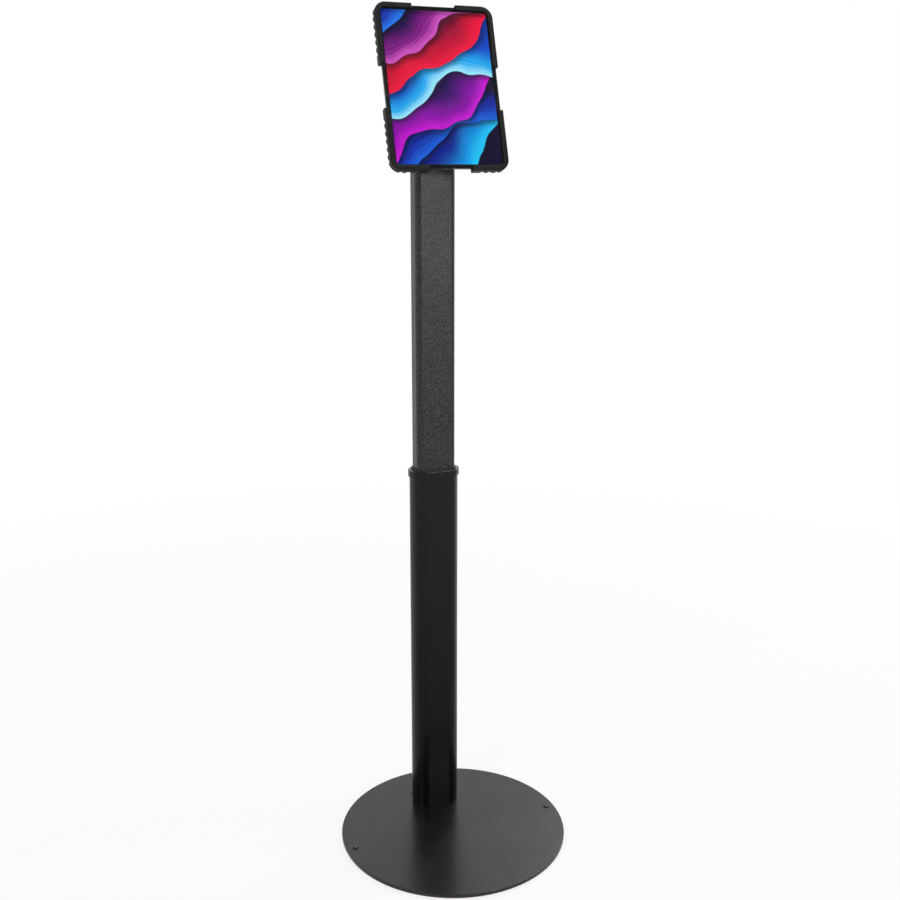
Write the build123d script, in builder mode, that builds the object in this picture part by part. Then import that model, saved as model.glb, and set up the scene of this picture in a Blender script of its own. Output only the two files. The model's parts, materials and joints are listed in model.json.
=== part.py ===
from build123d import *
from math import asin, atan2, cos, degrees, hypot, radians, sin
import os

os.makedirs("parts", exist_ok=True)

# Adjustable floor stand for a tablet, in millimetres.
# The origin is the centre of the base plate, on the floor. +Z is up, -Y faces the person at the tablet,
# +X is that person's right. The column stands behind the plate's centre, so the tablet is over the middle.

# Clearances that every fit uses
run_fit = 0.05
seat_gap = 0.1
slide_gap = 0.3
weld_gap = 0.15
cut_over = 5.0

# Base plate
plate_dia = 370.0
plate_t = 6.0
plate_round = 0.8

# Rubber pads under the plate
pad_dia = 28.0
pad_t = 2.0
pad_inset = 26.0
pad_count = 6

# Button plugs that close the plate's holes
plug_head_dia = 11.5
plug_head_h = 3.0
plug_stem_dia = 7.6
plug_side_inset = 14.0
plug_left_fore = 5.5
plug_right_fore = 0.5
plug_rear_gap = 2.5
plug_rear_in = 8.4

# Column place, measured from the plate's centre to the column's centre
column_y = 92.0

# Lower tube
lower_w = 79.8
lower_d = 46.0
lower_side_flat = 1.0
lower_wall = 2.0
lower_len = 595.0

# Upper tube
upper_w = 64.4
upper_d = 35.0
upper_r = 8.5
upper_wall = 1.8
upper_len = 644.0

# Foot plate inside the lower tube and the screws that hold it from below
foot_plate_t = 10.0
foot_screw_dia = 8.0
foot_screw_head = 16.0
foot_screw_len = 14.0
foot_screw_key = 5.0
foot_screw_key_deep = 3.0
foot_screw_x = 44.0
foot_screw_y = 20.0

# Collar round the lower tube's top
collar_wall = 2.2
collar_skirt = 8.0
collar_top_t = 2.0
collar_round = 0.8

# Guide sleeve between the tubes, with a thin rim that rises above the collar
sleeve_len = 65.0
sleeve_rim_h = 3.0
sleeve_rim_wall = 2.2

# End glide on the upper tube's lower end
glide_h = 40.0
glide_floor = 3.0
glide_hole_w = 40.0
glide_hole_d = 16.0

# Height lock behind the column
lock_below_top = 34.0
lock_stud_dia = 8.0
lock_boss_dia = 18.0
lock_boss_len = 8.0
lock_hole_gap = 0.6
lock_pad_dia = 11.0
lock_pad_gap = 0.5
lock_knob_r = 22.0
lock_knob_len = 26.0
lock_knob_stand = 3.0
lock_knob_lobes = 6
lock_knob_lobe_r = 6.0
lock_knob_valley_r = 3.0
lock_knob_round = 2.5
lock_stud_in_knob = 18.0

# Top plate of the upper tube
top_plate_t = 4.0
top_plug_t = 3.0

# Yoke on the column's top
pivot_h = 30.0
yoke_base_t = 4.0
yoke_ear_t = 4.0
yoke_ear_r = 14.0
yoke_screw_dia = 6.0
yoke_screw_head = 10.5
yoke_screw_head_h = 3.3
yoke_screw_len = 12.0
yoke_screw_key = 4.0
yoke_screw_key_deep = 2.0
yoke_screw_pitch = 15.0

# Tilt bolt, its washers and its clamp knob
tilt_bolt_dia = 8.0
tilt_bolt_flats = 13.0
tilt_bolt_head_h = 5.3
tilt_washer_dia = 22.0
tilt_washer_t = 1.0
knob_washer_dia = 18.0
knob_washer_t = 1.5
tilt_knob_r = 14.0
tilt_knob_len = 20.0
tilt_knob_lobes = 5
tilt_knob_lobe_r = 4.5
tilt_knob_valley_r = 2.5
tilt_knob_round = 2.0
knob_insert_dia = 13.0
knob_insert_len = 12.0
knob_insert_room = 1.0

# Tilt of the tablet at rest, back from upright, and the pivot's distance behind the glass
tilt_deg = 18.5
pivot_back = 47.0

# Tilt knuckle
tongue_w = 20.0
lug_r = 12.0
flange_r = 28.0
flange_t = 5.0
flange_round = 1.0

# Spindle on which the cradle turns
spindle_dia = 10.0
spindle_thread_dia = 8.0
spindle_thread_len = 14.0
spindle_head_dia = 18.0
spindle_head_h = 4.0
spindle_key = 6.0
spindle_key_deep = 3.0
spring_washer_dia = 19.0
spring_washer_t = 1.3
bush_wall = 2.0
bush_flange_w = 3.5
bush_flange_t = 1.0
disc_dia = 52.0
disc_hole_dia = 18.0
disc_t = 0.9

# Tablet of the 11 inch class
screen_w = 163.0
screen_h = 229.5
screen_r = 4.0
bezel = 6.5
tablet_r = 14.0
tablet_t = 6.0
tablet_round = 2.0
glass_t = 0.8
panel_t = 0.5

# Hub of the cradle
hub_w = 90.0
hub_h = 110.0
hub_r = 14.0
hub_t = 14.7
hub_floor = 6.0
hub_round = 4.0
hub_pocket_r = 13.0
front_t = 2.1
backing_t = 1.2
backing_inset = 2.0
hub_screw_dia = 3.0
hub_screw_head = 6.0
hub_screw_len = 11.0
hub_screw_key = 2.0
hub_screw_key_deep = 1.2
hub_screw_inset = 9.0

# Arms
arm_w = 20.0
arm_t = 3.0
arm_start = 22.0
arm_end_in = 20.0
arm_round = 6.0
arm_out_travel = 20.0
arm_in_travel = 42.0
clamp_r = 50.0
clamp_screw_dia = 5.0
clamp_screw_head = 9.0
clamp_screw_head_h = 2.6
clamp_screw_key = 3.0
clamp_screw_key_deep = 1.6
clamp_tip_gap = 0.4

# Corner grips
grip_leg_short = 57.5
grip_leg_long = 92.0
grip_wall = 2.4
grip_gap = 0.3
liner_t = 0.8
lip_over = 4.0
lip_t = 1.9
lip_round = 1.0
grip_flange = 10.0
grip_gusset = 45.0
scallop_r = 5.0
scallop_deep = 1.5
scallop_pitch = 11.5
scallop_first = 17.0
scallop_long_count = 6
scallop_short_count = 3
scallop_front = 1.2
grip_screw_dia = 3.0
grip_screw_head = 5.6
grip_screw_head_h = 1.7
grip_screw_in = 2.6
grip_screw_key = 2.0
grip_screw_key_deep = 1.0
grip_screw_end = 5.0
grip_screw_pitch = 10.0

# Heights worked out from the sizes above
plate_bottom = pad_t
plate_top = plate_bottom + plate_t
tube_top = plate_top + lower_len
sleeve_bottom = tube_top - sleeve_len
upper_bottom = sleeve_bottom - slide_gap - glide_h
upper_top = upper_bottom + upper_len
pivot_z = upper_top + top_plate_t + pivot_h
lock_z = tube_top - lock_below_top

# Cross sections worked out from the sizes above: width, depth, corner radius. The lower tube's narrow sides
# are nearly half round.
lower_r = (lower_d - lower_side_flat) / 2
lower_out = (lower_w, lower_d, lower_r)
lower_in = (lower_w - 2 * lower_wall, lower_d - 2 * lower_wall, lower_r - lower_wall)
upper_out = (upper_w, upper_d, upper_r)
upper_in = (upper_w - 2 * upper_wall, upper_d - 2 * upper_wall, upper_r - upper_wall)


def grown(section, by):
    """The same section with every side moved out by the given amount."""
    return (section[0] + 2 * by, section[1] + 2 * by, section[2] + by)


# Depths behind the front of the glass
tablet_back = tablet_t
backing_back = tablet_back + backing_t
front_back = backing_back + front_t
arm_front = front_back + slide_gap
arm_back = arm_front + arm_t
channel_floor = arm_back + slide_gap
hub_back = front_back + hub_t
pocket_floor = hub_back - hub_floor
bush_front = pocket_floor - bush_flange_t
spindle_head_back = bush_front - spring_washer_t
disc_back = hub_back + disc_t
flange_front = disc_back + seat_gap
flange_back = flange_front + flange_t

# Sizes of the tablet and of the grips round it
tablet_w = screen_w + 2 * bezel
tablet_h = screen_h + 2 * bezel
half_w = tablet_w / 2
half_h = tablet_h / 2
grip_in = grown((tablet_w, tablet_h, tablet_r), grip_gap + liner_t)
grip_out = grown(grip_in, grip_wall)
web_front = tablet_back + grip_gap

# The tilt axis runs along X through this point, and the glass faces the person along this direction
tilt = radians(tilt_deg)
pivot = Vector(0, column_y, pivot_z)
facing = Vector(0, -cos(tilt), sin(tilt))
face = Plane(pivot + facing * pivot_back, x_dir=(1, 0, 0), z_dir=facing)

corners = {"top_left": (-1, 1), "top_right": (1, 1), "bottom_left": (-1, -1), "bottom_right": (1, -1)}


def at_depth(depth):
    """The plane parallel to the glass at a depth behind it, facing the person."""
    return face.offset(-depth)


def from_behind(x, y, depth):
    """The plane at a point of the head, facing away from the person."""
    return Plane(at_depth(depth).from_local_coords((x, y, 0)), x_dir=face.x_dir, z_dir=-face.z_dir)


def along_arm(corner, depth):
    """The plane at a depth behind the glass whose X runs from the spindle to a corner of the tablet."""
    angle = atan2(corner[1] * half_h, corner[0] * half_w)
    direction = face.x_dir * cos(angle) + face.y_dir * sin(angle)
    return Plane(face.origin, x_dir=direction, z_dir=face.z_dir).offset(-depth)


def arm_point(corner, distance):
    """The place in the glass plane's own X and Y at a distance along an arm."""
    angle = atan2(corner[1] * half_h, corner[0] * half_w)
    return (distance * cos(angle), distance * sin(angle))


def rounded(section):
    """A rounded rectangle in the open sketch."""
    return RectangleRounded(section[0], section[1], section[2])


def cut_rounded(section):
    """A rounded rectangle taken out of the open sketch."""
    return RectangleRounded(section[0], section[1], section[2], mode=Mode.SUBTRACT)


def on_column(height):
    """The level plane at a height, with its origin in the column's middle."""
    return Plane((0, column_y, height))


def dome_screw(head_dia, head_h, shank_dia, shank_len, key=None, key_deep=0):
    """A fastener with a low domed head above its origin, its shank along -Z and a hexagon socket."""
    dome = (head_dia * head_dia / 4 + head_h * head_h) / (2 * head_h)
    half = asin(head_dia / 2 / dome) / 2
    crown = (dome * sin(half), head_h - dome + dome * cos(half))
    with BuildPart() as screw:
        with BuildSketch(Plane.XZ):
            with BuildLine():
                ThreePointArc((0, head_h), crown, (head_dia / 2, 0))
                Polyline((head_dia / 2, 0), (shank_dia / 2, 0), (shank_dia / 2, -shank_len), (0, -shank_len))
                Line((0, -shank_len), (0, head_h))
            make_face()
        revolve(axis=Axis.Z)
        if key:
            with BuildSketch(Plane.XY.offset(head_h)):
                RegularPolygon(key / 2, 6, major_radius=False)
            extrude(amount=-key_deep, mode=Mode.SUBTRACT)
    return screw.part


def flush_screw(head_dia, shank_dia, shank_len, key, key_deep):
    """A countersunk screw whose flat head lies at its origin, with its shank along -Z."""
    cone = (head_dia - shank_dia) / 2
    with BuildPart() as screw:
        with BuildSketch(Plane.XZ):
            with BuildLine():
                Polyline(
                    (0, 0),
                    (head_dia / 2, 0),
                    (shank_dia / 2, -cone),
                    (shank_dia / 2, -shank_len),
                    (0, -shank_len),
                    close=True,
                )
            make_face()
        revolve(axis=Axis.Z)
        with BuildSketch(Plane.XY):
            RegularPolygon(key / 2, 6, major_radius=False)
        extrude(amount=-key_deep, mode=Mode.SUBTRACT)
    return screw.part


def lobed_knob(radius, length, lobes, lobe_r, valley_r, edge_round, bore_dia, bore_deep):
    """A hand knob along +Z from its origin, with a blind bore in its foot."""
    with BuildPart() as knob:
        with BuildSketch(Plane.XY):
            Circle(radius - lobe_r)
            with PolarLocations(radius - lobe_r, lobes):
                Circle(lobe_r)
            fillet(vertices(), valley_r)
        extrude(amount=length)
        fillet(knob.edges().group_by(Axis.Z)[-1], edge_round)
        with BuildSketch(Plane.XY):
            Circle(bore_dia / 2)
        extrude(amount=bore_deep, mode=Mode.SUBTRACT)
    return knob.part


# Places of the plugs and the pads on the plate
plug_side_x = plate_dia / 2 - plug_side_inset
plug_rear_x = lower_w / 2 - plug_rear_in
plug_rear_y = column_y + lower_d / 2 + plug_rear_gap
plug_places = [
    (-plug_side_x, -plug_left_fore),
    (plug_side_x, -plug_right_fore),
    (-plug_rear_x, plug_rear_y),
    (plug_rear_x, plug_rear_y),
]
pad_ring_r = plate_dia / 2 - pad_inset

# Base plate: a steel disc with holes for the plugs and countersunk holes under the column
under_column = Plane((0, column_y, plate_bottom), x_dir=(1, 0, 0), z_dir=(0, 0, -1))
with BuildPart() as base_plate:
    with BuildSketch(Plane.XY.offset(plate_bottom)):
        Circle(plate_dia / 2)
    extrude(amount=plate_t)
    fillet(base_plate.edges(), plate_round)
    with BuildSketch(Plane.XY.offset(plate_bottom)):
        with Locations(*plug_places):
            Circle(plug_stem_dia / 2 + seat_gap)
    extrude(amount=plate_t, mode=Mode.SUBTRACT)
    with Locations(under_column):
        with GridLocations(foot_screw_x, foot_screw_y, 2, 2):
            CounterSinkHole(
                radius=foot_screw_dia / 2 + seat_gap,
                counter_sink_radius=foot_screw_head / 2 + seat_gap,
                depth=plate_t,
            )
base_plate.part.label = "base_plate"
export_step(base_plate.part, "parts/base_plate.step")

# Rubber pads in a ring under the plate
with BuildPart() as rubber_pads:
    with BuildSketch(Plane.XY):
        with PolarLocations(pad_ring_r, pad_count, start_angle=180 / pad_count):
            Circle(pad_dia / 2)
    extrude(amount=pad_t)
rubber_pads.part.label = "rubber_pads"
export_step(rubber_pads.part, "parts/rubber_pads.step")

# Button plugs with low domed heads
plug = dome_screw(plug_head_dia, plug_head_h, plug_stem_dia, plate_t)
with BuildPart() as hole_plugs:
    with Locations(*[(x, y, plate_top) for x, y in plug_places]):
        add(plug)
hole_plugs.part.label = "hole_plugs"
export_step(hole_plugs.part, "parts/hole_plugs.step")

# Screws that hold the column from below the plate
foot_screw = flush_screw(foot_screw_head, foot_screw_dia, foot_screw_len, foot_screw_key, foot_screw_key_deep)
with BuildPart() as column_screws:
    with Locations(under_column):
        with GridLocations(foot_screw_x, foot_screw_y, 2, 2):
            add(foot_screw)
column_screws.part.label = "column_screws"
export_step(column_screws.part, "parts/column_screws.step")

# Foot plate welded into the lower tube's end, threaded for the screws
with BuildPart() as foot_plate:
    with BuildSketch(on_column(plate_top)):
        rounded(grown(lower_in, -weld_gap))
        with GridLocations(foot_screw_x, foot_screw_y, 2, 2):
            Circle(foot_screw_dia / 2 + run_fit, mode=Mode.SUBTRACT)
    extrude(amount=foot_plate_t)
foot_plate.part.label = "foot_plate"
export_step(foot_plate.part, "parts/foot_plate.step")

# Lower tube, with the hole for the height lock in its rear wall
behind_column = Plane((0, column_y, lock_z), x_dir=(-1, 0, 0), z_dir=(0, 1, 0))
with BuildPart() as lower_tube:
    with BuildSketch(on_column(plate_top)):
        rounded(lower_out)
        cut_rounded(lower_in)
    extrude(amount=lower_len)
    with BuildSketch(behind_column):
        Circle(lock_stud_dia / 2 + lock_hole_gap)
    extrude(amount=lower_d / 2 + cut_over, mode=Mode.SUBTRACT)
lower_tube.part.label = "lower_tube"
export_step(lower_tube.part, "parts/lower_tube.step")

# Collar: a cap ring over the lower tube's top, open round the guide sleeve's rim
rim_out = grown(upper_out, slide_gap + sleeve_rim_wall)
with BuildPart() as collar:
    with BuildSketch(on_column(tube_top - collar_skirt)):
        rounded(grown(lower_out, seat_gap + collar_wall))
    extrude(amount=collar_skirt + collar_top_t)
    fillet(collar.edges().group_by(Axis.Z)[-1], collar_round)
    with BuildSketch(on_column(tube_top - collar_skirt)):
        rounded(grown(lower_out, seat_gap))
    extrude(amount=collar_skirt, mode=Mode.SUBTRACT)
    with BuildSketch(on_column(tube_top)):
        rounded(grown(rim_out, seat_gap))
    extrude(amount=collar_top_t, mode=Mode.SUBTRACT)
collar.part.label = "collar"
export_step(collar.part, "parts/collar.step")

# Guide sleeve inside the lower tube: the upper tube slides in it, and its rim shows above the collar
with BuildPart() as guide_sleeve:
    with BuildSketch(on_column(sleeve_bottom)):
        rounded(grown(lower_in, -weld_gap))
    extrude(amount=sleeve_len)
    with BuildSketch(on_column(tube_top)):
        rounded(rim_out)
    extrude(amount=collar_top_t + sleeve_rim_h)
    with BuildSketch(on_column(sleeve_bottom)):
        rounded(grown(upper_out, slide_gap))
    extrude(amount=sleeve_len + collar_top_t + sleeve_rim_h, mode=Mode.SUBTRACT)
    with BuildSketch(behind_column):
        Circle(lock_pad_dia / 2 + lock_pad_gap)
    extrude(amount=lower_d / 2, mode=Mode.SUBTRACT)
guide_sleeve.part.label = "guide_sleeve"
export_step(guide_sleeve.part, "parts/guide_sleeve.step")

# Threaded boss welded on the rear wall for the height lock
with BuildPart() as lock_boss:
    with BuildSketch(behind_column.offset(lower_d / 2)):
        Circle(lock_boss_dia / 2)
        Circle(lock_stud_dia / 2 + run_fit, mode=Mode.SUBTRACT)
    extrude(amount=lock_boss_len)
lock_boss.part.label = "lock_boss"
export_step(lock_boss.part, "parts/lock_boss.step")

# Pressure pad of the height lock, between the stud and the upper tube
pad_front = upper_d / 2 + seat_gap
pad_rear = lower_d / 2 - lower_wall - weld_gap - seat_gap
with BuildPart() as pressure_pad:
    with BuildSketch(behind_column.offset(pad_front)):
        Circle(lock_pad_dia / 2)
    extrude(amount=pad_rear - pad_front)
pressure_pad.part.label = "pressure_pad"
export_step(pressure_pad.part, "parts/pressure_pad.step")

# Stud of the height lock
knob_start = lower_d / 2 + lock_boss_len + lock_knob_stand
with BuildPart() as lock_stud:
    with BuildSketch(behind_column.offset(pad_rear)):
        Circle(lock_stud_dia / 2)
    extrude(amount=knob_start + lock_stud_in_knob - pad_rear)
lock_stud.part.label = "lock_stud"
export_step(lock_stud.part, "parts/lock_stud.step")

# Hand knob of the height lock
lock_knob_shape = lobed_knob(
    lock_knob_r,
    lock_knob_len,
    lock_knob_lobes,
    lock_knob_lobe_r,
    lock_knob_valley_r,
    lock_knob_round,
    lock_stud_dia + 2 * run_fit,
    lock_stud_in_knob,
)
with BuildPart() as lock_knob:
    with Locations(behind_column.offset(knob_start)):
        add(lock_knob_shape)
lock_knob.part.label = "lock_knob"
export_step(lock_knob.part, "parts/lock_knob.step")

# Upper tube
with BuildPart() as upper_tube:
    with BuildSketch(on_column(upper_bottom)):
        rounded(upper_out)
        cut_rounded(upper_in)
    extrude(amount=upper_len)
upper_tube.part.label = "upper_tube"
export_step(upper_tube.part, "parts/upper_tube.step")

# End glide: a cup on the upper tube's lower end that slides in the lower tube and stops at the sleeve
with BuildPart() as end_glide:
    with BuildSketch(on_column(upper_bottom - glide_floor)):
        rounded(grown(lower_in, -slide_gap))
    extrude(amount=glide_floor + glide_h)
    with BuildSketch(on_column(upper_bottom)):
        rounded(grown(upper_out, weld_gap))
    extrude(amount=glide_h, mode=Mode.SUBTRACT)
    with BuildSketch(on_column(upper_bottom - glide_floor)):
        Rectangle(glide_hole_w, glide_hole_d)
    extrude(amount=glide_floor, mode=Mode.SUBTRACT)
end_glide.part.label = "end_glide"
export_step(end_glide.part, "parts/end_glide.step")

# Top plate that closes the upper tube, with a plug inside it and threads for the yoke's screws
with BuildPart() as top_plate:
    with BuildSketch(on_column(upper_top)):
        rounded(upper_out)
    extrude(amount=top_plate_t)
    with BuildSketch(on_column(upper_top - top_plug_t)):
        rounded(grown(upper_in, -weld_gap))
    extrude(amount=top_plug_t)
    with BuildSketch(on_column(upper_top - top_plug_t)):
        with GridLocations(0, yoke_screw_pitch, 1, 2):
            Circle(yoke_screw_dia / 2 + run_fit)
    extrude(amount=top_plug_t + top_plate_t, mode=Mode.SUBTRACT)
top_plate.part.label = "top_plate"
export_step(top_plate.part, "parts/top_plate.step")

# Yoke: two ears that carry the tilt bolt
yoke_bottom = upper_top + top_plate_t
ear_in = tongue_w / 2 + tilt_washer_t + seat_gap
ear_out = ear_in + yoke_ear_t
across = Plane((0, column_y, yoke_bottom), x_dir=(0, 1, 0), z_dir=(1, 0, 0))
with BuildPart() as yoke:
    with BuildSketch(across.offset(-ear_out)):
        Rectangle(2 * yoke_ear_r, pivot_h, align=(Align.CENTER, Align.MIN))
        with Locations((0, pivot_h)):
            Circle(yoke_ear_r)
    extrude(amount=2 * ear_out)
    with BuildSketch(across.offset(-ear_in)):
        with Locations((0, yoke_base_t)):
            Rectangle(2 * yoke_ear_r, pivot_h + yoke_ear_r, align=(Align.CENTER, Align.MIN))
    extrude(amount=2 * ear_in, mode=Mode.SUBTRACT)
    with BuildSketch(across.offset(-ear_out)):
        with Locations((0, pivot_h)):
            Circle(tilt_bolt_dia / 2 + run_fit)
    extrude(amount=2 * ear_out, mode=Mode.SUBTRACT)
    with BuildSketch(on_column(yoke_bottom)):
        with GridLocations(0, yoke_screw_pitch, 1, 2):
            Circle(yoke_screw_dia / 2 + seat_gap)
    extrude(amount=yoke_base_t, mode=Mode.SUBTRACT)
yoke.part.label = "yoke"
export_step(yoke.part, "parts/yoke.step")

# Screws of the yoke
yoke_screw = dome_screw(
    yoke_screw_head, yoke_screw_head_h, yoke_screw_dia, yoke_screw_len, yoke_screw_key, yoke_screw_key_deep
)
with BuildPart() as yoke_screws:
    with Locations(on_column(yoke_bottom + yoke_base_t)):
        with GridLocations(0, yoke_screw_pitch, 1, 2):
            add(yoke_screw)
yoke_screws.part.label = "yoke_screws"
export_step(yoke_screws.part, "parts/yoke_screws.step")

# Tilt bolt through both ears, with its head on the left and its end in the knob
pivot_plane = Plane(pivot, x_dir=(0, 1, 0), z_dir=(1, 0, 0))
tilt_knob_start = ear_out + knob_washer_t + seat_gap
with BuildPart() as tilt_bolt:
    with BuildSketch(pivot_plane.offset(-ear_out - tilt_bolt_head_h)):
        RegularPolygon(tilt_bolt_flats / 2, 6, major_radius=False)
    extrude(amount=tilt_bolt_head_h)
    with BuildSketch(pivot_plane.offset(-ear_out)):
        Circle(tilt_bolt_dia / 2)
    extrude(amount=ear_out + tilt_knob_start + knob_insert_len)
tilt_bolt.part.label = "tilt_bolt"
export_step(tilt_bolt.part, "parts/tilt_bolt.step")

# Friction washers on both sides of the tongue
with BuildPart() as tilt_washers:
    for washer_start in (-ear_in, tongue_w / 2 + seat_gap):
        with BuildSketch(pivot_plane.offset(washer_start)):
            Circle(tilt_washer_dia / 2)
            Circle(tilt_bolt_dia / 2 + run_fit, mode=Mode.SUBTRACT)
        extrude(amount=tilt_washer_t)
tilt_washers.part.label = "tilt_washers"
export_step(tilt_washers.part, "parts/tilt_washers.step")

# Steel washer under the tilt knob
with BuildPart() as knob_washer:
    with BuildSketch(pivot_plane.offset(ear_out)):
        Circle(knob_washer_dia / 2)
        Circle(tilt_bolt_dia / 2 + run_fit, mode=Mode.SUBTRACT)
    extrude(amount=knob_washer_t)
knob_washer.part.label = "knob_washer"
export_step(knob_washer.part, "parts/knob_washer.step")

# Brass insert of the tilt knob
with BuildPart() as knob_insert:
    with BuildSketch(pivot_plane.offset(tilt_knob_start)):
        Circle(knob_insert_dia / 2)
        Circle(tilt_bolt_dia / 2 + run_fit, mode=Mode.SUBTRACT)
    extrude(amount=knob_insert_len)
knob_insert.part.label = "knob_insert"
export_step(knob_insert.part, "parts/knob_insert.step")

# Tilt knob
tilt_knob_shape = lobed_knob(
    tilt_knob_r,
    tilt_knob_len,
    tilt_knob_lobes,
    tilt_knob_lobe_r,
    tilt_knob_valley_r,
    tilt_knob_round,
    knob_insert_dia + 2 * seat_gap,
    knob_insert_len + knob_insert_room,
)
with BuildPart() as tilt_knob:
    with Locations(pivot_plane.offset(tilt_knob_start)):
        add(tilt_knob_shape)
tilt_knob.part.label = "tilt_knob"
export_step(tilt_knob.part, "parts/tilt_knob.step")

# Tilt knuckle: a tongue between the yoke's ears and a round flange behind the hub
head_side = Plane(face.origin, x_dir=face.z_dir, z_dir=(-1, 0, 0))
with BuildPart() as tilt_knuckle:
    with BuildSketch(at_depth(flange_back)):
        Circle(flange_r)
    extrude(amount=flange_t)
    fillet(tilt_knuckle.edges(), flange_round)
    with BuildSketch(head_side.offset(-tongue_w / 2)):
        with Locations((-(flange_front + pivot_back) / 2, 0)):
            Rectangle(pivot_back - flange_front - flange_round, 2 * lug_r)
        with Locations((-pivot_back, 0)):
            Circle(lug_r)
        with Locations((-(flange_back + pivot_back) / 2, 0)):
            Rectangle(pivot_back - flange_back, 2 * lug_r)
    extrude(amount=tongue_w)
    with BuildSketch(head_side.offset(-tongue_w / 2)):
        with Locations((-pivot_back, 0)):
            Circle(tilt_bolt_dia / 2 + run_fit)
    extrude(amount=tongue_w, mode=Mode.SUBTRACT)
    with BuildSketch(at_depth(flange_front)):
        Circle(spindle_thread_dia / 2 + run_fit)
    extrude(amount=-spindle_thread_len, mode=Mode.SUBTRACT)
tilt_knuckle.part.label = "tilt_knuckle"
export_step(tilt_knuckle.part, "parts/tilt_knuckle.step")

# Spindle: a shoulder bolt whose head sits in the hub's pocket
with BuildPart() as spindle_bolt:
    with BuildSketch(at_depth(spindle_head_back)):
        Circle(spindle_head_dia / 2)
    extrude(amount=spindle_head_h)
    with BuildSketch(at_depth(flange_front)):
        Circle(spindle_dia / 2)
    extrude(amount=flange_front - spindle_head_back)
    with BuildSketch(at_depth(flange_front)):
        Circle(spindle_thread_dia / 2)
    extrude(amount=-(spindle_thread_len - seat_gap))
    with BuildSketch(at_depth(spindle_head_back - spindle_head_h)):
        RegularPolygon(spindle_key / 2, 6, major_radius=False)
    extrude(amount=-spindle_key_deep, mode=Mode.SUBTRACT)
spindle_bolt.part.label = "spindle_bolt"
export_step(spindle_bolt.part, "parts/spindle_bolt.step")

# Spring washer under the spindle's head
with BuildPart() as spring_washer:
    with BuildSketch(at_depth(bush_front - seat_gap)):
        Circle(spring_washer_dia / 2)
        Circle(spindle_dia / 2 + run_fit, mode=Mode.SUBTRACT)
    extrude(amount=spring_washer_t - seat_gap)
spring_washer.part.label = "spring_washer"
export_step(spring_washer.part, "parts/spring_washer.step")

# Flanged bush in the hub, in which the spindle turns
bush_r = spindle_dia / 2 + run_fit + bush_wall
with BuildPart() as spindle_bush:
    with BuildSketch(at_depth(hub_back)):
        Circle(bush_r)
    extrude(amount=hub_back - bush_front)
    with BuildSketch(at_depth(pocket_floor)):
        Circle(bush_r + bush_flange_w)
    extrude(amount=bush_flange_t)
    with BuildSketch(at_depth(hub_back)):
        Circle(spindle_dia / 2 + run_fit)
    extrude(amount=hub_back - bush_front, mode=Mode.SUBTRACT)
spindle_bush.part.label = "spindle_bush"
export_step(spindle_bush.part, "parts/spindle_bush.step")

# Friction disc on the hub's back
with BuildPart() as friction_disc:
    with BuildSketch(at_depth(disc_back)):
        Circle(disc_dia / 2)
        Circle(disc_hole_dia / 2, mode=Mode.SUBTRACT)
    extrude(amount=disc_t)
friction_disc.part.label = "friction_disc"
export_step(friction_disc.part, "parts/friction_disc.step")

# Hub housing, with a channel for each arm and a pocket for the spindle's head
hub_outline = (hub_w, hub_h, hub_r)
hub_screw_places = [
    (hub_screw_inset - hub_w / 2, 0),
    (hub_w / 2 - hub_screw_inset, 0),
    (0, hub_screw_inset - hub_h / 2),
    (0, hub_h / 2 - hub_screw_inset),
]
channel_len = hypot(hub_w, hub_h) / 2 + cut_over
with BuildPart() as hub_housing:
    with BuildSketch(at_depth(hub_back)):
        rounded(hub_outline)
    extrude(amount=hub_t)
    hub_rear_edges = hub_housing.faces().sort_by(Axis(face.origin, face.z_dir))[0].edges()
    fillet(hub_rear_edges, hub_round)
    for corner in corners.values():
        with BuildSketch(along_arm(corner, front_back)):
            with Locations((channel_len / 2, 0)):
                Rectangle(channel_len, arm_w + 2 * slide_gap)
        extrude(amount=front_back - channel_floor, mode=Mode.SUBTRACT)
    with BuildSketch(at_depth(front_back)):
        Circle(hub_pocket_r)
    extrude(amount=front_back - pocket_floor, mode=Mode.SUBTRACT)
    with BuildSketch(at_depth(hub_back)):
        Circle(bush_r + seat_gap)
        with Locations(*[arm_point(corner, clamp_r) for corner in corners.values()]):
            Circle(clamp_screw_dia / 2 + seat_gap)
    extrude(amount=hub_t, mode=Mode.SUBTRACT)
    with BuildSketch(at_depth(front_back)):
        with Locations(*hub_screw_places):
            Circle(hub_screw_dia / 2 + run_fit)
    extrude(amount=front_t - hub_screw_len, mode=Mode.SUBTRACT)
hub_housing.part.label = "hub_housing"
export_step(hub_housing.part, "parts/hub_housing.step")

# Front plate that closes the hub's channels, threaded for the clamp screws
with BuildPart() as hub_front:
    with BuildSketch(at_depth(front_back)):
        rounded(hub_outline)
        with Locations(*[arm_point(corner, clamp_r) for corner in corners.values()]):
            Circle(clamp_screw_dia / 2 + run_fit, mode=Mode.SUBTRACT)
    extrude(amount=front_t)
    with Locations(at_depth(backing_back)):
        with Locations(*hub_screw_places):
            CounterSinkHole(
                radius=hub_screw_dia / 2 + seat_gap,
                counter_sink_radius=hub_screw_head / 2 + seat_gap,
                depth=front_t,
            )
hub_front.part.label = "hub_front"
export_step(hub_front.part, "parts/hub_front.step")

# Screws that hold the front plate on the housing
hub_screw = flush_screw(hub_screw_head, hub_screw_dia, hub_screw_len, hub_screw_key, hub_screw_key_deep)
with BuildPart() as hub_screws:
    with Locations(at_depth(backing_back)):
        with Locations(*hub_screw_places):
            add(hub_screw)
hub_screws.part.label = "hub_screws"
export_step(hub_screws.part, "parts/hub_screws.step")

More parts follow.
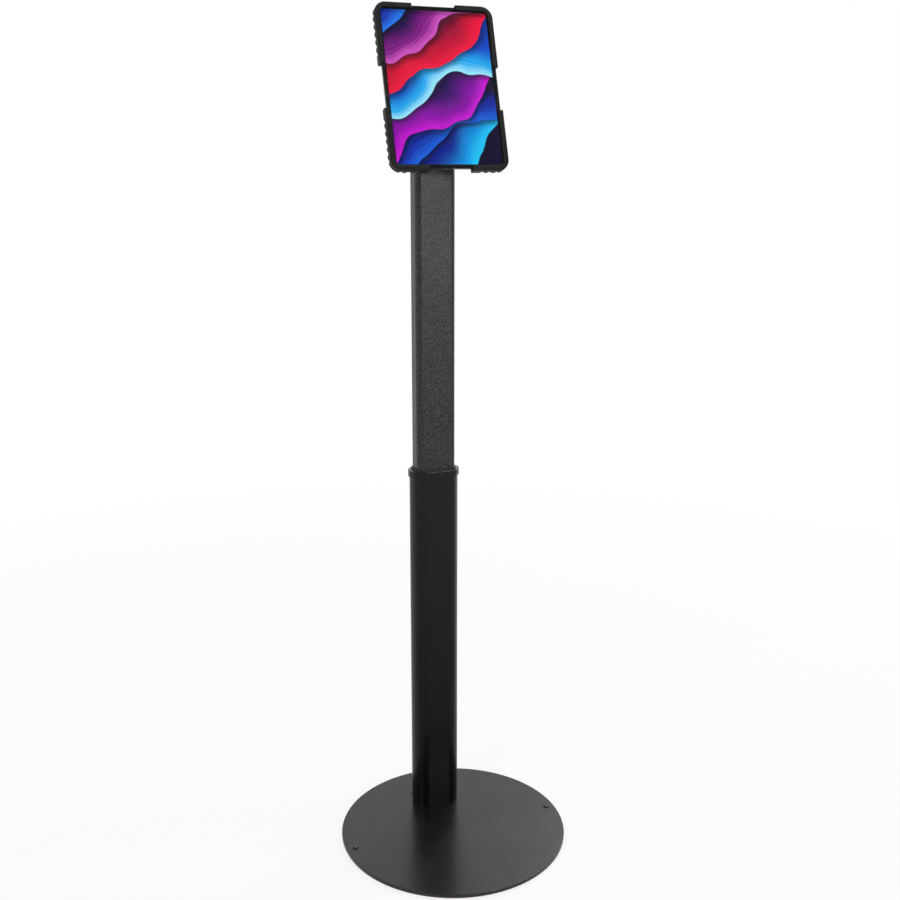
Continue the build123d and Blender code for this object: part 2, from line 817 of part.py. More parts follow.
# Rubber pad between the hub and the tablet's back
with BuildPart() as backing_pad:
    with BuildSketch(at_depth(backing_back)):
        rounded(grown(hub_outline, -backing_inset))
    extrude(amount=backing_t)
backing_pad.part.label = "backing_pad"
export_step(backing_pad.part, "parts/backing_pad.step")

# Clamp screws: each passes through the housing and an arm's slot into the front plate
clamp_screw = dome_screw(
    clamp_screw_head,
    clamp_screw_head_h,
    clamp_screw_dia,
    hub_back - backing_back - clamp_tip_gap,
    clamp_screw_key,
    clamp_screw_key_deep,
)
with BuildPart() as clamp_screws:
    with Locations(*[from_behind(*arm_point(corner, clamp_r), hub_back) for corner in corners.values()]):
        add(clamp_screw)
clamp_screws.part.label = "clamp_screws"
export_step(clamp_screws.part, "parts/clamp_screws.step")

# Sizes of an arm, measured from the spindle
arm_end = hypot(half_w, half_h) - arm_end_in
arm_len = arm_end - arm_start
arm_mid = (arm_start + arm_end) / 2
slot_w = clamp_screw_dia + 2 * slide_gap
slot_len = arm_out_travel + arm_in_travel + slot_w
slot_mid = clamp_r + (arm_in_travel - arm_out_travel) / 2
grip_screw_rs = [arm_end - grip_screw_end, arm_end - grip_screw_end - grip_screw_pitch]
grip_screw = dome_screw(
    grip_screw_head,
    grip_screw_head_h,
    grip_screw_dia,
    arm_t + grip_screw_in,
    grip_screw_key,
    grip_screw_key_deep,
)
scallop_out = scallop_r - scallop_deep

for place, corner in corners.items():
    side, up = corner

    # Arm: a steel strip with a long slot for its clamp screw
    with BuildPart() as arm:
        with BuildSketch(along_arm(corner, arm_back)):
            with Locations((arm_mid, 0)):
                Rectangle(arm_len, arm_w)
            fillet(vertices().group_by(Axis.X)[-1], arm_round)
            with Locations((slot_mid, 0)):
                SlotOverall(slot_len, slot_w, mode=Mode.SUBTRACT)
            with Locations(*[(r, 0) for r in grip_screw_rs]):
                Circle(grip_screw_dia / 2 + seat_gap, mode=Mode.SUBTRACT)
        extrude(amount=arm_t)
    arm.part.label = f"arm_{place}"
    export_step(arm.part, f"parts/arm_{place}.step")

    # The corner of the frame that this grip covers, as a box from the grip's outer corner inwards
    box_at = (side * (grip_out[0] - grip_leg_short) / 2, up * (grip_out[1] - grip_leg_long) / 2)
    window = [
        (0, 0),
        (side * (half_w - grip_flange), 0),
        (side * (half_w - grip_flange), up * (half_h - grip_gusset)),
        (side * (half_w - grip_gusset), up * (half_h - grip_flange)),
        (0, up * (half_h - grip_flange)),
    ]
    scallops = [
        (side * (grip_out[0] / 2 + scallop_out), up * (grip_out[1] / 2 - scallop_first - i * scallop_pitch))
        for i in range(scallop_long_count)
    ] + [
        (side * (grip_out[0] / 2 - scallop_first - i * scallop_pitch), up * (grip_out[1] / 2 + scallop_out))
        for i in range(scallop_short_count)
    ]

    # Corner grip: web behind the tablet, wall round its corner, lip over its bezel, ribbed outer sides
    with BuildPart() as grip:
        with BuildSketch(at_depth(-grip_gap - lip_t)):
            rounded(grip_out)
            cut_rounded(grown((tablet_w, tablet_h, tablet_r), -lip_over))
            with Locations(box_at):
                Rectangle(grip_leg_short, grip_leg_long, mode=Mode.INTERSECT)
        extrude(amount=-lip_t)
        with BuildSketch(at_depth(arm_front)):
            rounded(grip_out)
            cut_rounded(grip_in)
            with Locations(box_at):
                Rectangle(grip_leg_short, grip_leg_long, mode=Mode.INTERSECT)
        extrude(amount=arm_front + grip_gap)
        with BuildSketch(at_depth(arm_front)):
            rounded(grip_out)
            with Locations(box_at):
                Rectangle(grip_leg_short, grip_leg_long, mode=Mode.INTERSECT)
            Polygon(*window, align=None, mode=Mode.SUBTRACT)
        extrude(amount=arm_front - web_front)
        with BuildSketch(at_depth(arm_front)):
            with Locations(*scallops):
                Circle(scallop_r)
        extrude(amount=arm_front - scallop_front, mode=Mode.SUBTRACT)
        with BuildSketch(at_depth(arm_front)):
            with Locations(*[arm_point(corner, r) for r in grip_screw_rs]):
                Circle(grip_screw_dia / 2 + run_fit)
        extrude(amount=grip_screw_in + seat_gap, mode=Mode.SUBTRACT)
        fillet(grip.faces().sort_by(Axis(face.origin, face.z_dir))[-1].edges(), lip_round)
    grip.part.label = f"grip_{place}"
    export_step(grip.part, f"parts/grip_{place}.step")

    # Rubber liner inside the grip's wall
    with BuildPart() as liner:
        with BuildSketch(at_depth(web_front)):
            rounded(grip_in)
            cut_rounded(grown(grip_in, -liner_t))
            with Locations(box_at):
                Rectangle(grip_leg_short, grip_leg_long, mode=Mode.INTERSECT)
        extrude(amount=web_front + grip_gap)
    liner.part.label = f"liner_{place}"
    export_step(liner.part, f"parts/liner_{place}.step")

    # Screws that hold the grip on its arm, from behind
    with BuildPart() as grip_screws:
        with Locations(*[from_behind(*arm_point(corner, r), arm_back) for r in grip_screw_rs]):
            add(grip_screw)
    grip_screws.part.label = f"grip_screws_{place}"
    export_step(grip_screws.part, f"parts/grip_screws_{place}.step")

# Tablet case: a shallow metal tray with a recess for the display panel
screen_outline = (screen_w, screen_h, screen_r)
with BuildPart() as tablet_case:
    with BuildSketch(at_depth(tablet_back)):
        RectangleRounded(tablet_w, tablet_h, tablet_r)
    extrude(amount=tablet_back - glass_t)
    fillet(tablet_case.faces().sort_by(Axis(face.origin, face.z_dir))[0].edges(), tablet_round)
    with BuildSketch(at_depth(glass_t)):
        rounded(screen_outline)
    extrude(amount=-panel_t, mode=Mode.SUBTRACT)
tablet_case.part.label = "tablet_case"
export_step(tablet_case.part, "parts/tablet_case.step")

# Display panel under the glass
with BuildPart() as tablet_display:
    with BuildSketch(at_depth(glass_t + panel_t)):
        rounded(grown(screen_outline, -seat_gap))
    extrude(amount=panel_t)
tablet_display.part.label = "tablet_display"
export_step(tablet_display.part, "parts/tablet_display.step")

# Cover glass
with BuildPart() as tablet_glass:
    with BuildSketch(at_depth(glass_t)):
        RectangleRounded(tablet_w, tablet_h, tablet_r)
    extrude(amount=glass_t)
tablet_glass.part.label = "tablet_glass"
export_step(tablet_glass.part, "parts/tablet_glass.step")

print("tilt axis at", pivot, "centre of the glass at", face.origin)
print("arm runs from", arm_start, "to", arm_end, "along", degrees(atan2(half_h, half_w)), "degrees")
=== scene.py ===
# %% [markdown]
# Adjustable floor stand for a tablet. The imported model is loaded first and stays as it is: it is the frame
# that every finish and every extra piece is fitted to. All lengths are in metres, +Z is up, -Y faces the
# person at the tablet, and the origin is the middle of the round base plate, on the floor.

# %% Load the frame
import json
from math import cos, pi, radians, sin

import bmesh
import bpy
from mathutils import Matrix, Vector


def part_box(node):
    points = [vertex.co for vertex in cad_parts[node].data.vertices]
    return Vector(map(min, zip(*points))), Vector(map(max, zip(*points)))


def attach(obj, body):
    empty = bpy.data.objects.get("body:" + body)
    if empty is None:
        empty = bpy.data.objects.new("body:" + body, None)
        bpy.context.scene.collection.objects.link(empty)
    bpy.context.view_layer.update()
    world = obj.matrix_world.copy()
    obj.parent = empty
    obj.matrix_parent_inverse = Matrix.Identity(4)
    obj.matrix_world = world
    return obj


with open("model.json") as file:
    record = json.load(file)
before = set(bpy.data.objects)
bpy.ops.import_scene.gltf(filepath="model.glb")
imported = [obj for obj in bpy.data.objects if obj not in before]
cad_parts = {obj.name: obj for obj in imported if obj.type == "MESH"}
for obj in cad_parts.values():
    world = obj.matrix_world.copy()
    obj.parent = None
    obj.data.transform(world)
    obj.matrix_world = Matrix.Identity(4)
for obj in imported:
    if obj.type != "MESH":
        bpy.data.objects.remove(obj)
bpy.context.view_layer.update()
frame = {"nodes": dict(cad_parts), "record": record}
scene = bpy.context.scene
scene.view_settings.view_transform = "Standard"

# %% [markdown]
# The camera stands to the left of the stand and looks down on it. Its place, turn and lens were worked out
# from the round plate, the edges of the two tubes and the corners of the screen.

# %% Camera
lens_mm = 44.47
sensor_mm = 36.0
camera_place = (-0.5732, -1.5535, 1.0703)
camera_turn = 20.083
camera_down = 14.022

camera_data = bpy.data.cameras.new("camera")
camera_data.lens = lens_mm
camera_data.sensor_width = sensor_mm
camera_data.sensor_fit = "HORIZONTAL"
camera = bpy.data.objects.new("camera", camera_data)
camera.location = camera_place
camera.rotation_euler = (radians(90 - camera_down), 0, radians(-camera_turn))
scene.collection.objects.link(camera)
scene.camera = camera
print("camera", camera_place, "lens", lens_mm)

# %% [markdown]
# Every finish below is a tree of nodes, and every node needs the same three steps: add it, set its values,
# link its inputs. One helper does that, so that a finish reads as a list of what it is made of.


# %% Helper: one node with its values and links
def node(tree, kind, sockets=None, **settings):
    """Adds a node, sets its settings, and fills its input sockets with values or links."""
    made = tree.nodes.new(kind)
    for name, value in settings.items():
        setattr(made, name, value)
    for name, value in (sockets or {}).items():
        if isinstance(value, bpy.types.NodeSocket):
            tree.links.new(value, made.inputs[name])
        else:
            made.inputs[name].default_value = value
    return made


def grey(level):
    """A neutral colour at a linear level."""
    return (level, level, level, 1.0)


def screen_colour(red, green, blue):
    """The linear colour of a colour that is written in the 0 to 255 of a display."""
    parts = []
    for value in (red, green, blue):
        share = value / 255
        parts.append(share / 12.92 if share <= 0.04045 else ((share + 0.055) / 1.055) ** 2.4)
    return (*parts, 1.0)


def maths(tree, operation, first, second=0.0):
    """The output of a Math node."""
    return node(tree, "ShaderNodeMath", {0: first, 1: second}, operation=operation).outputs[0]


def ramp(tree, value, low, high, low_to=0.0, high_to=1.0, smooth=False):
    """The output of a Map Range node."""
    sockets = {"Value": value, "From Min": low, "From Max": high, "To Min": low_to, "To Max": high_to}
    kind = "SMOOTHSTEP" if smooth else "LINEAR"
    return node(tree, "ShaderNodeMapRange", sockets, interpolation_type=kind).outputs["Result"]


def blend_colour(tree, factor, first, second):
    """The output of a Mix node for two colours."""
    made = node(tree, "ShaderNodeMix", data_type="RGBA")
    for name, value in (("Factor_Float", factor), ("A_Color", first), ("B_Color", second)):
        place = next(i for i in made.inputs if i.identifier == name)
        if isinstance(value, bpy.types.NodeSocket):
            tree.links.new(value, place)
        else:
            place.default_value = value
    return next(o for o in made.outputs if o.identifier == "Result_Color")


# %% [markdown]
# The stand was photographed on white. The world is that white room: the camera, gloss and glass see it at
# a strength of 1 behind the object, and gloss sees it dimmer in front of the object, as in a studio whose
# lamps face the backdrop. It is dimmer on the left too, which keeps the tubes' narrow sides dark. Diffuse
# light comes from a plain sky of one level.

# %% World: a white room
room_back = 1.0
room_front = 0.1
room_turn = (-0.75, 0.25)
room_left = 0.65
left_turn = (-0.6, 0.05)
sky_level = 0.5

world = bpy.data.worlds.new("white_room")
scene.world = world
world.use_nodes = True
tree = world.node_tree
tree.nodes.clear()
direction = node(tree, "ShaderNodeTexCoord").outputs["Generated"]
ways = node(tree, "ShaderNodeSeparateXYZ", {"Vector": direction}).outputs
rays = node(tree, "ShaderNodeLightPath").outputs
seen = maths(tree, "MAXIMUM", rays["Is Glossy Ray"], rays["Is Transmission Ray"])
left_level = ramp(tree, ways["X"], *left_turn, room_left, 1.0, smooth=True)
back_level = ramp(tree, ways["Y"], *room_turn, room_front, room_back, smooth=True)
room_level = maths(tree, "MULTIPLY", back_level, left_level)
level = maths(tree, "MULTIPLY", seen, maths(tree, "SUBTRACT", room_level, sky_level))
level = maths(tree, "ADD", level, sky_level)
level = maths(tree, "MAXIMUM", level, rays["Is Camera Ray"])
sky = node(tree, "ShaderNodeBackground", {"Color": grey(1.0), "Strength": level})
node(tree, "ShaderNodeOutputWorld", {"Surface": sky.outputs["Background"]})
print("world levels: back", room_back, "front", room_front, "sky", sky_level)

# %% [markdown]
# The floor is a pale sheet of diffuse paint. Light Path mixes plain white into it where the camera, gloss
# or glass sees it, so that it stays white without more light on the object. Near the stand a share of the
# paint is left, which keeps the object's soft shadow, and far away it is all white, so that no horizon
# shows. Gloss sees the sheet dimmer in front of the object, and dimmest just before the plate, where the
# lower tube shows it. A narrow ring close to the plate stays white in gloss, and lights the plate's rim.

# %% Floor
floor_half = 12.0
floor_colour = 0.8
white_share_near = 0.8
white_reach = (0.5, 2.5)
gloss_front = (0.1, 0.4)
gloss_reach = (0.3, 1.6)
floor_turn = (-0.2, 0.5)
ring_reach = (0.192, 0.203)

floor_mesh = bpy.data.meshes.new("floor")
floor_corners = [(-floor_half, -floor_half, 0), (floor_half, -floor_half, 0)]
floor_corners += [(floor_half, floor_half, 0), (-floor_half, floor_half, 0)]
floor_mesh.from_pydata(floor_corners, [], [(0, 1, 2, 3)])
floor = bpy.data.objects.new("floor", floor_mesh)
scene.collection.objects.link(floor)

floor_paint = bpy.data.materials.new("floor_paint")
floor_paint.use_nodes = True
tree = floor_paint.node_tree
tree.nodes.clear()
rays = node(tree, "ShaderNodeLightPath").outputs
place = node(tree, "ShaderNodeTexCoord").outputs["Object"]
ways = node(tree, "ShaderNodeSeparateXYZ", {"Vector": place}).outputs
away = node(tree, "ShaderNodeVectorMath", {0: place}, operation="LENGTH").outputs["Value"]
front_level = ramp(tree, away, *gloss_reach, *gloss_front, smooth=True)
front_level = maths(tree, "MAXIMUM", front_level, ramp(tree, away, *ring_reach, 1.0, 0.0))
left_level = ramp(tree, maths(tree, "DIVIDE", ways["X"], away), *left_turn, room_left, 1.0, smooth=True)
gloss_level = ramp(tree, ways["Y"], *floor_turn, front_level, left_level, smooth=True)
gloss_seen = maths(tree, "MULTIPLY", rays["Is Glossy Ray"], gloss_level)
clear_seen = maths(tree, "MAXIMUM", rays["Is Camera Ray"], rays["Is Transmission Ray"])
strength = maths(tree, "MAXIMUM", gloss_seen, clear_seen)
any_seen = maths(tree, "MAXIMUM", clear_seen, rays["Is Glossy Ray"])
white_share = ramp(tree, away, *white_reach, white_share_near, 1.0, smooth=True)
share = maths(tree, "MULTIPLY", white_share, any_seen)
paint = node(tree, "ShaderNodeBsdfDiffuse", {"Color": grey(floor_colour)}).outputs["BSDF"]
white = node(tree, "ShaderNodeEmission", {"Color": grey(1.0), "Strength": strength}).outputs["Emission"]
both = node(tree, "ShaderNodeMixShader", {0: share, 1: paint, 2: white}).outputs["Shader"]
node(tree, "ShaderNodeOutputMaterial", {"Surface": both})
floor_mesh.materials.append(floor_paint)
print("floor", 2 * floor_half, "m wide")

# %% [markdown]
# Soft boxes give the room some direction: one high on the left in front, one on the right in front that
# the upper tube mirrors under the tablet, one behind on the right for the bright edges, and one overhead
# that draws a thin light line along every softened upper edge. The one on the right stands far out, so
# that it is low as seen from the column's foot: nearer and steeper, it would shine off the plate onto the
# foot, which is the darkest place of the column.


# %% Lamps
def soft_box(name, place, target, size, watts):
    """A square area lamp at a place, turned to a target."""
    lamp = bpy.data.lights.new(name, "AREA")
    lamp.size = size
    lamp.energy = watts
    box = bpy.data.objects.new(name, lamp)
    box.location = place
    box.rotation_euler = (Vector(target) - Vector(place)).to_track_quat("-Z", "Y").to_euler()
    scene.collection.objects.link(box)
    print(name, "at", place, "watts", watts)


soft_box("left_box", (-2.2, -1.6, 2.6), (0, 0, 0.7), 1.4, 30)
soft_box("right_box", (1.7, -4.6, 1.53), (0, 0.09, 1.15), 1.0, 44)
soft_box("rear_box", (1.8, 1.6, 2.4), (0, 0, 0.6), 1.4, 24)
soft_box("top_box", (0.75, 0.2, 2.8), (0, 0, 0.6), 1.0, 22)

# %% [markdown]
# Four effects come back in many finishes: powder coat, moulded grain, worn edges and settled dust. Each
# could be copied into every material, but then a change would have to be made many times, so each is a
# shader node group that is built once. A group only puts out values over the surface: the shader itself
# stays in each material.


# %% Helper: a node group with named inputs and outputs
def shader_group(name, inputs, outputs):
    """A new shader group with its input and output nodes."""
    group = bpy.data.node_groups.new(name, "ShaderNodeTree")
    for label, kind, value in inputs:
        socket = group.interface.new_socket(label, in_out="INPUT", socket_type=kind)
        if value is not None:
            socket.default_value = value
    for label, kind in outputs:
        group.interface.new_socket(label, in_out="OUTPUT", socket_type=kind)
    start = group.nodes.new("NodeGroupInput").outputs
    end = group.nodes.new("NodeGroupOutput").inputs
    print("group", name, [label for label, *_ in inputs])
    return group, start, end


def use_group(tree, group, sockets):
    """The outputs of a group that is placed in a tree with its values or links."""
    return node(tree, "ShaderNodeGroup", sockets, node_tree=group).outputs


def noise(tree, vector, scale, detail=2.0, rough=0.5):
    """The Fac output of a Noise Texture."""
    sockets = {"Vector": vector, "Scale": scale, "Detail": detail, "Roughness": rough}
    return node(tree, "ShaderNodeTexNoise", sockets).outputs["Fac"]


# %% [markdown]
# Powder coat is sprayed on as dry plastic dust and melted in an oven. It flows into shallow pebbles, like
# orange peel, with a fine grain on top. A picture of real paint would repeat and blur close up, so a smooth
# Voronoi pattern gives the pebbles here, and two noises the waves and the grain. A third noise varies the
# tone at random in flecks. On the coarse coat these pale flecks are also painted sparkle, glints painted
# into the colour.

# %% Group: powder coat
FLOAT, VECTOR, COLOUR = "NodeSocketFloat", "NodeSocketVector", "NodeSocketColor"
powder_coat, start, end = shader_group(
    "powder_coat",
    [
        ("Vector", VECTOR, None),
        ("Pebbles", FLOAT, 400.0),
        ("Grain", FLOAT, 1500.0),
        ("Grain Share", FLOAT, 0.3),
    ],
    [("Height", FLOAT), ("Tone", FLOAT)],
)
tree = powder_coat
pebble_sockets = {"Vector": start["Vector"], "Scale": start["Pebbles"], "Smoothness": 0.6}
pebbles = node(tree, "ShaderNodeTexVoronoi", pebble_sockets, feature="SMOOTH_F1").outputs["Distance"]
waves = noise(tree, start["Vector"], maths(tree, "MULTIPLY", start["Pebbles"], 0.6), 1.0)
grains = noise(tree, start["Vector"], start["Grain"], 2.0, 0.6)
body = maths(tree, "ADD", maths(tree, "MULTIPLY", pebbles, 0.6), maths(tree, "MULTIPLY", waves, 0.5))
fine = maths(tree, "MULTIPLY", maths(tree, "SUBTRACT", grains, 0.5), start["Grain Share"])
tree.links.new(maths(tree, "ADD", body, fine), end["Height"])
# Random tone in flecks, which on the coarse coat is also painted sparkle: pale flecks that stand in for
# glints.
tone_and_painted_sparkle = noise(tree, start["Vector"], start["Pebbles"], 1.0)
tree.links.new(ramp(tree, tone_and_painted_sparkle, 0.36, 0.66), end["Tone"])

# %% [markdown]
# The steel of a mould is etched or spark eroded, and the plastic takes over its grain. Thick places shrink
# a little more than thin ones as they cool, so a slow noise adds shallow sinks to the fine one.

# %% Group: moulded grain
moulded_grain, start, end = shader_group(
    "moulded_grain",
    [("Vector", VECTOR, None), ("Grain", FLOAT, 2200.0), ("Sink", FLOAT, 60.0)],
    [("Height", FLOAT), ("Tone", FLOAT)],
)
tree = moulded_grain
grains = noise(tree, start["Vector"], start["Grain"], 3.0, 0.7)
sinks = noise(tree, start["Vector"], start["Sink"], 1.0)
tree.links.new(maths(tree, "ADD", grains, maths(tree, "MULTIPLY", sinks, 0.6)), end["Height"])
tree.links.new(ramp(tree, sinks, 0.3, 0.7), end["Tone"])

# %% [markdown]
# Edges that hands and boxes rub turn paler, in patches. The Bevel node rounds the normal near an edge, so
# where it differs from the true normal there is an edge: no painting by hand is needed, and the wear
# follows the shape when that changes.

# %% Group: edge wear
edge_wear, start, end = shader_group(
    "edge_wear",
    [("Vector", VECTOR, None), ("Reach", FLOAT, 0.0008), ("Amount", FLOAT, 0.5)],
    [("Mask", FLOAT)],
)
tree = edge_wear
soft_normal = node(tree, "ShaderNodeBevel", {"Radius": start["Reach"]}, samples=4).outputs["Normal"]
true_normal = node(tree, "ShaderNodeNewGeometry").outputs["Normal"]
pair = {0: soft_normal, 1: true_normal}
likeness = node(tree, "ShaderNodeVectorMath", pair, operation="DOT_PRODUCT").outputs["Value"]
edge = ramp(tree, likeness, 0.98, 0.8, smooth=True)
patchy = ramp(tree, noise(tree, start["Vector"], 180.0, 4.0, 0.65), 0.45, 0.6)
mask = maths(tree, "MULTIPLY", maths(tree, "MULTIPLY", edge, patchy), start["Amount"])
tree.links.new(mask, end["Mask"])

# %% [markdown]
# Dust settles on faces that look up, as a thin cloud with a few specks in it. The mask needs the surface's
# own direction, which the Normal output of Texture Coordinate gives in the object's space.

# %% Group: settled dust
dust_colour = (0.2, 0.19, 0.175, 1.0)
settled_dust, start, end = shader_group(
    "settled_dust",
    [("Vector", VECTOR, None), ("Up", VECTOR, None), ("Amount", FLOAT, 0.5)],
    [("Mask", FLOAT)],
)
tree = settled_dust
upward = node(tree, "ShaderNodeSeparateXYZ", {"Vector": start["Up"]}).outputs["Z"]
lying = ramp(tree, upward, 0.5, 0.95, smooth=True)
clouds = noise(tree, start["Vector"], 14.0, 3.0, 0.6)
specks = ramp(tree, noise(tree, start["Vector"], 1300.0, 1.0), 0.62, 0.72)
settled = maths(tree, "ADD", maths(tree, "MULTIPLY", ramp(tree, clouds, 0.4, 0.7), 0.5), specks)
mask = maths(tree, "MULTIPLY", maths(tree, "MULTIPLY", settled, lying), start["Amount"])
tree.links.new(mask, end["Mask"])

# %% [markdown]
# A finish starts from the same three things each time: a new material, its Principled shader, and Object
# coordinates through a Mapping node. The plain numbers, such as the specular level, are set on the shader's
# own sockets, where the export can read them. Object coordinates stay with the piece as it moves, and the
# Mapping node can centre and turn a pattern on it.


# %% Helper: a new finish
finishes = {}


def new_finish(name, plain=None, centre=(0, 0, 0), turn=(0, 0, 0)):
    """A material with its tree, its shader and its Object coordinates."""
    made = bpy.data.materials.new(name)
    made.use_nodes = True
    tree = made.node_tree
    shader = tree.nodes["Principled BSDF"]
    for socket, value in (plain or {}).items():
        shader.inputs[socket].default_value = value
    coordinates = node(tree, "ShaderNodeTexCoord").outputs
    sockets = {"Vector": coordinates["Object"], "Location": centre, "Rotation": turn}
    vector = node(tree, "ShaderNodeMapping", sockets, vector_type="TEXTURE").outputs["Vector"]
    finishes[name] = made
    return tree, shader.inputs, vector, coordinates["Normal"]


def bump(tree, height, depth, strength=1.0):
    """The Normal output of a Bump node."""
    sockets = {"Height": height, "Distance": depth, "Strength": strength}
    return node(tree, "ShaderNodeBump", sockets).outputs["Normal"]


# %% [markdown]
# The base plate, the two tubes and the steel brackets are powder coated. What differs is the size of the
# pebbles, how deep they are and how glossy the coat dried: the plate and the lower tube are smooth satin,
# the upper tube is a coarse orange peel whose sparkle is partly painted into its colour as pale flecks, and
# the brackets lie between them. One function makes them all from a list of values.


# %% Finishes: powder coats
worn_paint = 0.12


def coat_finish(name, dark, pale, rough, pebbles, depth, grain_share, wear, dust):
    """A black powder coat: its two tones, its gloss, its pebbles, its worn edges and its dust."""
    tree, shader, vector, normal = new_finish(name)
    coat = use_group(tree, powder_coat, {"Vector": vector, "Pebbles": pebbles, "Grain Share": grain_share})
    colour = blend_colour(tree, coat["Tone"], grey(dark), grey(pale))
    worn = use_group(tree, edge_wear, {"Vector": vector, "Amount": wear})["Mask"]
    colour = blend_colour(tree, worn, colour, grey(worn_paint))
    dusty = use_group(tree, settled_dust, {"Vector": vector, "Up": normal, "Amount": dust})["Mask"]
    colour = blend_colour(tree, dusty, colour, dust_colour)
    tree.links.new(colour, shader["Base Color"])
    smeared = ramp(tree, noise(tree, vector, 9.0, 3.0), 0.3, 0.7, rough - 0.03, rough + 0.04)
    tree.links.new(maths(tree, "ADD", smeared, maths(tree, "MULTIPLY", dusty, 0.3)), shader["Roughness"])
    tree.links.new(bump(tree, coat["Height"], depth), shader["Normal"])
    print("finish", name)


# name, dark and pale tone, roughness, pebbles per metre, their depth, share of grain, wear, dust
coats = [
    ("plate_coat", 0.002, 0.006, 0.25, 700.0, 0.00003, 0.5, 0.25, 0.03),
    ("tube_coat", 0.0015, 0.003, 0.28, 450.0, 0.00002, 0.2, 0.0, 0.0),
    # The upper tube's wide span from dark to pale tone is random tone and also painted sparkle: pale flecks
    # that stand in for glints.
    ("mast_coat", 0.001, 0.056, 0.37, 560.0, 0.00008, 0.6, 0.0, 0.0),
    ("bracket_coat", 0.008, 0.02, 0.42, 600.0, 0.00008, 0.5, 0.4, 0.05),
]
for values in coats:
    coat_finish(*values)

# %% [markdown]
# Collar, plugs, knobs, hub and grips are moulded in black plastic. The mould's grain decides how they look:
# the collar is nearly polished, the plugs' domed heads are polished and show as black dots with a light
# edge, and the grips are rougher. The rubber of the pads and liners is matt and a little mottled. One
# function makes all of these too.


# %% Finishes: plastics and rubber
worn_plastic = 0.1


def moulded_finish(name, dark, pale, rough, grain, depth, wear, dust, specular):
    """A moulded plastic: its two tones, its gloss and its grain."""
    tree, shader, vector, normal = new_finish(name, {"Specular IOR Level": specular})
    skin = use_group(tree, moulded_grain, {"Vector": vector, "Grain": grain})
    colour = blend_colour(tree, skin["Tone"], grey(dark), grey(pale))
    worn = use_group(tree, edge_wear, {"Vector": vector, "Reach": 0.0006, "Amount": wear})["Mask"]
    colour = blend_colour(tree, worn, colour, grey(worn_plastic))
    dusty = use_group(tree, settled_dust, {"Vector": vector, "Up": normal, "Amount": dust})["Mask"]
    colour = blend_colour(tree, dusty, colour, dust_colour)
    tree.links.new(colour, shader["Base Color"])
    tree.links.new(ramp(tree, skin["Tone"], 0.0, 1.0, rough - 0.04, rough + 0.04), shader["Roughness"])
    tree.links.new(bump(tree, skin["Height"], depth), shader["Normal"])
    print("finish", name)


# name, dark and pale tone, roughness, grains per metre, grain depth, wear, dust, specular level
plastics = [
    ("trim_plastic", 0.003, 0.006, 0.22, 900.0, 0.00001, 0.2, 0.02, 0.5),
    ("plug_plastic", 0.001, 0.002, 0.12, 900.0, 0.000004, 0.1, 0.0, 0.5),
    ("guide_plastic", 0.012, 0.018, 0.34, 1500.0, 0.00001, 0.1, 0.0, 0.5),
    ("knob_plastic", 0.012, 0.022, 0.45, 2000.0, 0.00004, 0.35, 0.04, 0.5),
    ("hub_plastic", 0.014, 0.022, 0.48, 2200.0, 0.00005, 0.25, 0.04, 0.5),
    ("grip_plastic", 0.005, 0.008, 0.5, 2000.0, 0.00004, 0.3, 0.0, 0.3),
    ("rubber", 0.010, 0.020, 0.78, 1200.0, 0.00006, 0.0, 0.06, 0.25),
]
for values in plastics:
    moulded_finish(*values)

# %% [markdown]
# Bare metal shows in a few places. Zinc plating is a cloudy grey with faint straw and blue patches, black
# oxide is dark with a slight sheen, and the brass insert was turned, so fine rings run round its axis.

# %% Finishes: metals
knob_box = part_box("knob_insert")
knob_middle = tuple((low + high) / 2 for low, high in zip(*knob_box))

tree, shader, vector, _ = new_finish("zinc_steel", {"Metallic": 1.0})
clouds = noise(tree, vector, 160.0, 4.0, 0.6)
tint = ramp(tree, noise(tree, vector, 70.0, 2.0), 0.35, 0.65)
tinted = blend_colour(tree, tint, (0.52, 0.53, 0.56, 1.0), (0.58, 0.55, 0.47, 1.0))
tree.links.new(blend_colour(tree, ramp(tree, clouds, 0.3, 0.7), tinted, grey(0.42)), shader["Base Color"])
tree.links.new(ramp(tree, clouds, 0.3, 0.7, 0.3, 0.46), shader["Roughness"])
tree.links.new(bump(tree, noise(tree, vector, 1400.0), 0.00001), shader["Normal"])

tree, shader, vector, _ = new_finish("black_screw", {"Metallic": 0.8})
patches = noise(tree, vector, 400.0, 3.0)
worn = use_group(tree, edge_wear, {"Vector": vector, "Reach": 0.0004, "Amount": 0.5})["Mask"]
black = blend_colour(tree, patches, grey(0.02), grey(0.045))
tree.links.new(blend_colour(tree, worn, black, grey(0.25)), shader["Base Color"])
tree.links.new(ramp(tree, patches, 0.3, 0.7, 0.32, 0.45), shader["Roughness"])

tree, shader, vector, _ = new_finish("brass", {"Metallic": 1.0}, centre=knob_middle)
rings = node(
    tree,
    "ShaderNodeTexWave",
    {"Vector": vector, "Scale": 900.0, "Distortion": 0.6, "Detail": 1.0},
    wave_type="RINGS",
    rings_direction="X",
).outputs["Fac"]
tarnish = noise(tree, vector, 220.0, 3.0)
turned_brass = blend_colour(tree, tarnish, (0.62, 0.42, 0.16, 1.0), (0.78, 0.58, 0.27, 1.0))
tree.links.new(turned_brass, shader["Base Color"])
tree.links.new(ramp(tree, tarnish, 0.3, 0.7, 0.2, 0.34), shader["Roughness"])
tree.links.new(bump(tree, rings, 0.00001, 0.4), shader["Normal"])
print("finishes", sorted(finishes))

# %% [markdown]
# The head leans back, so its pieces need the head's own directions. The record's joint on which the cradle
# turns gives the way that the glass faces, and the glass lies a fixed distance in front of that joint.

